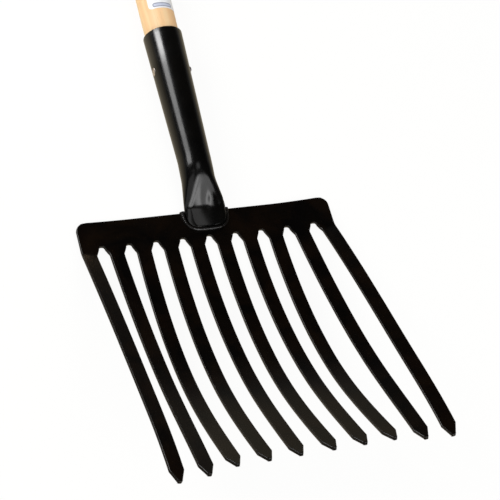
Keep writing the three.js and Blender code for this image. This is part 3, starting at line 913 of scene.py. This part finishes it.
# Welds
def bead(name, path, radii, node):
    """A rippled bead along a path, with a radius for each of its points."""
    ends = [path[0], *path, path[-1]]
    spans = len(path) - 1
    fine = []
    for place in range(spans * BEAD_STEPS + 1):
        k = min(place // BEAD_STEPS, spans - 1)
        t = (place - k * BEAD_STEPS) / BEAD_STEPS
        fine.append((spline(*ends[k : k + 4], t), mix(radii[k], radii[k + 1], smooth(t))))
    rings, run = [], 0.0
    for k, (at, radius) in enumerate(fine):
        before, after = fine[max(k - 1, 0)][0], fine[min(k + 1, len(fine) - 1)][0]
        ahead = (after - before).normalized()
        side = ahead.cross(Vector((0, 0, 1))).normalized()
        up = side.cross(ahead)
        run += (at - before).length
        to_end = clamp01(min(k, len(fine) - 1 - k) / BEAD_END_STEPS)
        cap = max(math.sqrt(1 - (1 - to_end) ** 2), BEAD_END_SHARE)
        lump = noise.noise(at / LUMP_LENGTH + LUMP_PLACE) * LUMP_DEPTH
        ring = []
        for j in range(BEAD_SIDES):
            turn = -2 * math.pi * j / BEAD_SIDES
            phase = run / RIPPLE_LENGTH + RIPPLE_CURVE * math.cos(2 * turn)
            ripple = 0.5 + 0.5 * math.sin(2 * math.pi * phase)
            size = radius * cap * (1 - RIPPLE_DEPTH * ripple + lump)
            ring.append(at + side * math.cos(turn) * size + up * math.sin(turn) * size)
        rings.append(ring)
    build = Build()
    build.solid(rings)
    piece(name, build, HEAD, [WELD_PAINT], node, sharp=60.0)


def make_welds():
    right = []
    for along in WELD_STATIONS:
        edge = FOOT_HALF * foot_end_share(along)
        slope = (FOOT_HALF * foot_end_share(along + WELD_SLOPE_STEP) - edge) / WELD_SLOPE_STEP
        out = Vector((1.0, -slope)).normalized() * WELD_OUT
        right.append((edge + out.x, FOOT_END_Y + along + out.y))
    points = [(-x, y) for x, y in reversed(right)] + [(0.0, FOOT_END_Y - WELD_OUT)] + right
    path = [Vector((x + WELD_SHIFT, y, WELD_RISE)) for x, y in points]
    bead("weld_bead_front", path, WELD_RADII, "face_weld_bead")
    rear_y = BAND_HEIGHT + REAR_WELD_OUT
    path = [Vector((x, rear_y, -THICKNESS / 2)) for x in steps(-REAR_WELD_HALF, REAR_WELD_HALF, 6)]
    bead("weld_bead_rear", path, [REAR_WELD_RADIUS] * len(path), "rear_weld_bead")


# Handle pieces
def lathe(profile, sides, wobble=0.0):
    """A turned solid round Y from radii and places along it, out of round by the wobble."""
    build = Build()
    rings = []
    for radius, along in profile:
        ring = []
        for j in range(sides):
            turn = 2 * math.pi * j / sides
            c, s = math.cos(turn), math.sin(turn)
            place = Vector((c * WOBBLE_SPREAD, s * WOBBLE_SPREAD, along / WOBBLE_LENGTH + WOBBLE_PLACE))
            uneven = 1 + wobble * noise.noise(place)
            ring.append(Vector((radius * uneven * s, along, radius * uneven * c)))
        rings.append(ring)
    build.solid(rings)
    return build


def across_handle(y):
    """A lathe's frame, laid across the handle at this height."""
    return HANDLE @ (Matrix.Translation((0, y, 0)) @ Matrix.Rotation(math.pi / 2, 4, "Z"))


def wedge_build(half_width, clearance=0.0, overrun=0.0):
    """The wedge in the tenon's end, or with a clearance and an overrun the cut for it."""

    def half(depth):
        return mix(WEDGE_THICK, WEDGE_POINT, depth / WEDGE_DEPTH) / 2 + clearance

    point, end = half(WEDGE_DEPTH), half(-overrun)
    low, high = TENON_END - WEDGE_DEPTH - clearance, TENON_END + overrun
    outline = [(-point, low), (point, low), (end, high), (-end, high)]
    build = Build()
    build.solid([[Vector((x, y, z)) for x, y in outline] for z in (-half_width, half_width)])
    return build


def make_shaft():
    root_radius = MOUTH_RADIUS - WALL - SEAT_GAP - INSERT * (MOUTH_RADIUS - NECK_RADIUS) / ROUND_LENGTH
    chamfered = SHAFT_CHAMFER - INSERT
    profile = [(root_radius - SHAFT_CHAMFER, -INSERT), (root_radius, chamfered)]
    for t in steps(0.1, 1.0, 9):
        profile.append((mix(root_radius, SHAFT_RADIUS - SEAT_GAP, t), mix(chamfered, 0.0, t)))
    profile += [(SHAFT_RADIUS, y) for y in steps(SHAFT_FULL_START, SHOULDER - SHAFT_NECK_LENGTH, 26)]
    for t in steps(0.0, 1.0, 12)[1:]:
        radius = mix(SHAFT_RADIUS, SHAFT_NECK_RADIUS, smooth(t))
        profile.append((radius, SHOULDER - SHAFT_NECK_LENGTH * (1 - t)))
    profile += [(TENON_RADIUS, SHOULDER), (TENON_RADIUS, TENON_END - TENON_CHAMFER)]
    profile.append((TENON_RADIUS - TENON_CHAMFER, TENON_END))
    build = lathe(profile, WOOD_SIDES)
    shaft = piece("ash_shaft", build, HANDLE, [SHAFT_ASH], "shaft", sharp=35.0)
    cut_away(shaft, wedge_build(TENON_RADIUS + CUT_OVERRUN, SEAT_CLEARANCE, CUT_OVERRUN))
    build = wedge_build(TENON_RADIUS - WEDGE_INSET)
    wedge = piece("tenon_wedge", build, HANDLE, [ASH_END], "grip_wedge")
    rounded_edges(wedge, WEDGE_EDGE, segments=2, angle=40.0)


def button_profile(seat):
    """From the crown down to the foot, which is drawn in a little."""
    profile = []
    for t in steps(0.0, math.pi / 2, 9)[::-1]:
        height = BUTTON_HEIGHT * (BUTTON_SIDE + (1 - BUTTON_SIDE) * math.sin(t))
        profile.append((BUTTON_RADIUS * math.cos(t) + POLE_RADIUS, seat - height))
    return profile + [(BUTTON_RADIUS * BUTTON_FOOT, seat)]


def make_rivet():
    socket_radius = mix(MOUTH_RADIUS, NECK_RADIUS, RIVET_DISTANCE / ROUND_LENGTH)
    button_seat = -socket_radius - BUTTON_CLEARANCE
    crown = SET_HEAD_SEAT + SET_HEAD_HEIGHT
    profile = button_profile(button_seat)
    profile += [(SHANK_RADIUS, button_seat), (SHANK_RADIUS, SET_HEAD_SEAT), (SET_HEAD_RADIUS, SET_HEAD_SEAT)]
    profile.append((SET_HEAD_RADIUS, crown - SET_HEAD_BULGE - 2 * SET_HEAD_EDGE))
    for t in steps(0.0, 1.0, 8):
        radius = mix(SET_HEAD_RADIUS - SET_HEAD_EDGE, POLE_RADIUS, t)
        profile.append((radius, crown - SET_HEAD_BULGE * (1 - t) ** 2))
    build = lathe(profile, RIVET_SIDES, RIVET_WOBBLE)
    place = across_handle(-RIVET_DISTANCE)
    zincs = [ZINC, BUTTON_ZINC]
    rivet = piece("cross_rivet", build, place, zincs, "socket_rivet", sharp=50.0)
    # The half beyond the handle's axis, the button end, takes the darker zinc
    for polygon in rivet.data.polygons:
        polygon.material_index = 1 if polygon.center.x > 0 else 0


def make_label():
    """A sheet round the shaft, with its flat millimetres as its texture's coordinates."""
    inside = SHAFT_RADIUS + LABEL_LIFT
    half_u = math.radians(LABEL_HALF_ANGLE) * inside
    half_v = LABEL_LENGTH / 2
    build = Build()
    flats = {}
    grids = []
    for radius in (inside + LABEL_THICK, inside):
        grid = []
        for row in range(LABEL_ROWS + 1):
            v = mix(-half_v, half_v, row / LABEL_ROWS)
            into = max(abs(v) - (half_v - LABEL_CORNER), 0.0)
            limit = half_u - LABEL_CORNER + math.sqrt(max(LABEL_CORNER**2 - into**2, 0.0))
            line = []
            for column in range(LABEL_COLUMNS + 1):
                u = mix(-limit, limit, column / LABEL_COLUMNS)
                turn = u / inside + math.radians(LABEL_TURN)
                at = Vector((radius * math.sin(turn), LABEL_START + half_v + v, radius * math.cos(turn)))
                index = build.point(at)
                flats[index] = (u, v)
                line.append(index)
            grid.append(line)
        grids.append(grid)
    top, back = grids
    for row in range(LABEL_ROWS):
        for k in range(LABEL_COLUMNS):
            build.face(top[row][k], top[row][k + 1], top[row + 1][k + 1], top[row + 1][k])
            build.face(back[row][k], back[row + 1][k], back[row + 1][k + 1], back[row][k + 1])
        build.face(top[row][0], top[row + 1][0], back[row + 1][0], back[row][0])
        build.face(top[row][-1], back[row][-1], back[row + 1][-1], top[row + 1][-1])
    for column in range(LABEL_COLUMNS):
        build.face(top[0][column], back[0][column], back[0][column + 1], top[0][column + 1])
        build.face(top[-1][column], top[-1][column + 1], back[-1][column + 1], back[-1][column])
    label = piece("shaft_sticker", build, HANDLE, [PAPER], "shaft_label", sharp=50.0)
    layer = label.data.uv_layers.new(name="flat")
    for loop in label.data.loops:
        layer.data[loop.index].uv = flats[loop.vertex_index]


def make_grip():
    half = BAR_LENGTH / 2
    profile = []
    for t in steps(0.0, math.pi / 2, 6):
        inset, short = rounding(BAR_END_ROUND, t)
        profile.append((BAR_END_RADIUS - inset, -half + short))
    for t in steps(-1.0, 1.0, 40)[1:-1]:
        profile.append((mix(BAR_RADIUS, BAR_END_RADIUS, t * t), (half - BAR_END_ROUND) * t))
    for t in steps(math.pi / 2, 0.0, 6):
        inset, short = rounding(BAR_END_ROUND, t)
        profile.append((BAR_END_RADIUS - inset, half - short))
    build = lathe(profile, WOOD_SIDES)
    place = across_handle(SHAFT_LENGTH)
    bar = piece("grip_crossbar", build, place, [GRIP_ASH], "grip_bar", sharp=35.0)
    reach = BAR_RADIUS + CUT_OVERRUN
    tenon, neck = TENON_RADIUS + TENON_CLEARANCE, SHAFT_NECK_RADIUS + SEAT_CLEARANCE
    centre = Vector((0.0, 0.0, 0.0))
    cut_away(
        bar,
        rod(tenon, SHAFT_LENGTH - reach, SHAFT_LENGTH + reach, "Y", centre, WOOD_SIDES),
        rod(neck, SHOULDER - reach, SHOULDER + SEAT_CLEARANCE, "Y", centre, WOOD_SIDES),
    )


make_head()
make_socket()
make_welds()
make_shaft()
make_rivet()
make_label()
make_grip()


# Stage, in metres
FLOOR_REACH = 40.0
FLOOR_LEVEL = -0.0005
FLOOR_COLOUR = (0.86, 0.85, 0.76, 1.0)
FLOOR_WHITE = 0.93
# The floor in gloss is a painted reflection that glows in this colour, at the near level along the handle's
# line and down to the far level at the reach
FLOOR_SHEEN = (1.0, 0.88, 0.66)
FLOOR_SHEEN_NEAR = 0.62
FLOOR_SHEEN_FAR = 0.26
FLOOR_SHEEN_REACH = 0.20
# The room in gloss: height above the horizon and level
ROOM_LEVELS = ((0.0, 0.26), (0.12, 0.08), (0.35, 0.02))
ROOM_LIGHT = 0.5
LIT_POINT = Vector((0.0, -0.13, 0.02))
LAMP_DISTANCE = 2.2
# A soft-edged lamp's nested softboxes: share of its size and of its radiance
SOFT_EDGE = ((1.25, 0.3), (1.0, 0.35), (0.75, 0.35))
# Soft-edged lamps: direction, width, length and radiance
SOFT_LAMPS = {
    "key": ((-0.62, 0.56, 0.55), 0.84, 0.9, 14.4),
    "front": ((0.08, -0.75, 0.65), 0.42, 1.0, 7.5),
    "front_wide": ((0.20, -0.74, 0.64), 1.3, 1.1, 4.5),
    "top": ((0.0, -0.02, 1.0), 0.6, 0.7, 2.2),
}
FILL_LAMP = ((-0.62, -0.50, 0.63), 1.6, 1.6, 0.4)
MOUTH_LAMP = ((-0.63, 0.51, 0.59), 0.105, 0.045, 5.3)
MOUTH_LIT_POINT = Vector((-0.012, -0.085, 0.054))
MOUTH_LAMP_DISTANCE = 0.22
# The camera that was fitted to the photograph
CAMERA_PLACE = (-0.48257, -0.88689, 1.33373)
CAMERA_TURN = (26.4727, -15.2272, -14.4605)
CAMERA_LENS = 109.61
CAMERA_SENSOR = 36.0
CAMERA_SHIFT = (-0.001, 0.001)
CAMERA_CLIP_END = 100.0


def make_floor():
    """A pale floor: white to the camera but for the share that keeps the shadow, and dimmer in gloss, where
    it glows as a painted reflection that fades away from the handle's line.
    """
    mesh = bpy.data.meshes.new("floor")
    signs = ((-1, -1), (1, -1), (1, 1), (-1, 1))
    corners = [(x * FLOOR_REACH, y * FLOOR_REACH, FLOOR_LEVEL) for x, y in signs]
    mesh.from_pydata(corners, [], [(0, 1, 2, 3)])
    floor = put("floor", mesh)
    look = Look("floor")
    look.set(Base_Color=FLOOR_COLOUR, Roughness=0.9, Specular_IOR_Level=0.0)
    paths = look.node("ShaderNodeLightPath")
    place = look.node("ShaderNodeSeparateXYZ")
    look.join(look.place, place.inputs["Vector"])
    beside = look.math("ABSOLUTE", place.outputs["X"])
    sheen = look.node("ShaderNodeEmission")
    sheen.inputs["Color"].default_value = (*FLOOR_SHEEN, 1.0)
    level = look.span(beside, 0.0, FLOOR_SHEEN_REACH, FLOOR_SHEEN_NEAR, FLOOR_SHEEN_FAR)
    look.join(level, sheen.inputs["Strength"])
    in_gloss = look.node("ShaderNodeMixShader")
    look.join(paths.outputs["Is Glossy Ray"], in_gloss.inputs[0])
    look.join(look.shader.outputs[0], in_gloss.inputs[1])
    look.join(sheen.outputs[0], in_gloss.inputs[2])
    white = look.node("ShaderNodeEmission")
    direct = look.math("MAXIMUM", paths.outputs["Is Camera Ray"], paths.outputs["Is Transmission Ray"])
    seen = look.node("ShaderNodeMixShader")
    look.join(look.math("MULTIPLY", direct, FLOOR_WHITE), seen.inputs[0])
    look.join(in_gloss.outputs[0], seen.inputs[1])
    look.join(white.outputs[0], seen.inputs[2])
    look.join(seen.outputs[0], look.tree.nodes["Material Output"].inputs["Surface"])
    mesh.materials.append(look.material)


def make_world():
    """A white backdrop to the camera, a dim room in gloss, and an even light to everything else."""
    world = bpy.data.worlds.new("studio")
    bpy.context.scene.world = world
    world.use_nodes = True
    tree = world.node_tree
    background = tree.nodes["Background"]
    place = tree.nodes.new("ShaderNodeTexCoord")
    split = tree.nodes.new("ShaderNodeSeparateXYZ")
    ramp = tree.nodes.new("ShaderNodeValToRGB")
    tree.links.new(place.outputs["Generated"], split.inputs["Vector"])
    tree.links.new(split.outputs["Z"], ramp.inputs["Fac"])
    stops = ramp.color_ramp.elements
    stops.new(0.5)
    for stop, (height, level) in zip(stops, ROOM_LEVELS):
        stop.position = height
        stop.color = (level, level, level, 1.0)
    paths = tree.nodes.new("ShaderNodeLightPath")
    seen = tree.nodes.new("ShaderNodeMath")
    seen.operation = "MAXIMUM"
    tree.links.new(paths.outputs["Is Camera Ray"], seen.inputs[0])
    tree.links.new(paths.outputs["Is Transmission Ray"], seen.inputs[1])
    backdrop = tree.nodes.new("ShaderNodeMixRGB")
    tree.links.new(seen.outputs[0], backdrop.inputs["Fac"])
    room = tree.nodes.new("ShaderNodeMixRGB")
    tree.links.new(paths.outputs["Is Diffuse Ray"], room.inputs["Fac"])
    tree.links.new(ramp.outputs["Color"], room.inputs["Color1"])
    room.inputs["Color2"].default_value = (ROOM_LIGHT, ROOM_LIGHT, ROOM_LIGHT, 1.0)
    tree.links.new(room.outputs["Color"], backdrop.inputs["Color1"])
    backdrop.inputs["Color2"].default_value = (1.0, 1.0, 1.0, 1.0)
    tree.links.new(backdrop.outputs["Color"], background.inputs["Color"])


def make_softbox(name, towards, width, length, radiance, about=LIT_POINT, distance=LAMP_DISTANCE):
    """A lit rectangle that faces the fork, with its length turned along the handle."""
    lamp = bpy.data.lights.new(name, "AREA")
    lamp.shape = "RECTANGLE"
    lamp.size, lamp.size_y = width, length
    lamp.energy = radiance * math.pi * width * length
    made = put(name, lamp)
    away = Vector(towards).normalized()
    across = Vector((0.0, 1.0, 0.0)).cross(away).normalized()
    turn = Matrix((across, away.cross(across), away)).transposed().to_4x4()
    made.matrix_world = Matrix.Translation(about + away * distance) @ turn
    made.visible_camera = False


def make_soft_edged(name, towards, width, length, radiance):
    """Nested softboxes, so that the light fades towards its edge."""
    for k, (size, share) in enumerate(SOFT_EDGE):
        make_softbox(f"{name}_{k}", towards, width * size, length * size, radiance * share)


def make_camera():
    data = bpy.data.cameras.new("camera")
    data.lens = CAMERA_LENS
    data.sensor_width = CAMERA_SENSOR
    data.shift_x, data.shift_y = CAMERA_SHIFT
    data.clip_end = CAMERA_CLIP_END
    camera = put("camera", data)
    camera.location = CAMERA_PLACE
    camera.rotation_euler = [math.radians(a) for a in CAMERA_TURN]
    bpy.context.scene.camera = camera


make_floor()
make_world()
for lamp_name, lamp_values in SOFT_LAMPS.items():
    make_soft_edged(lamp_name, *lamp_values)
make_softbox("fill", *FILL_LAMP)
make_softbox("mouth", *MOUTH_LAMP, MOUTH_LIT_POINT, MOUTH_LAMP_DISTANCE)
make_camera()
bpy.context.scene.view_settings.view_transform = "Standard"
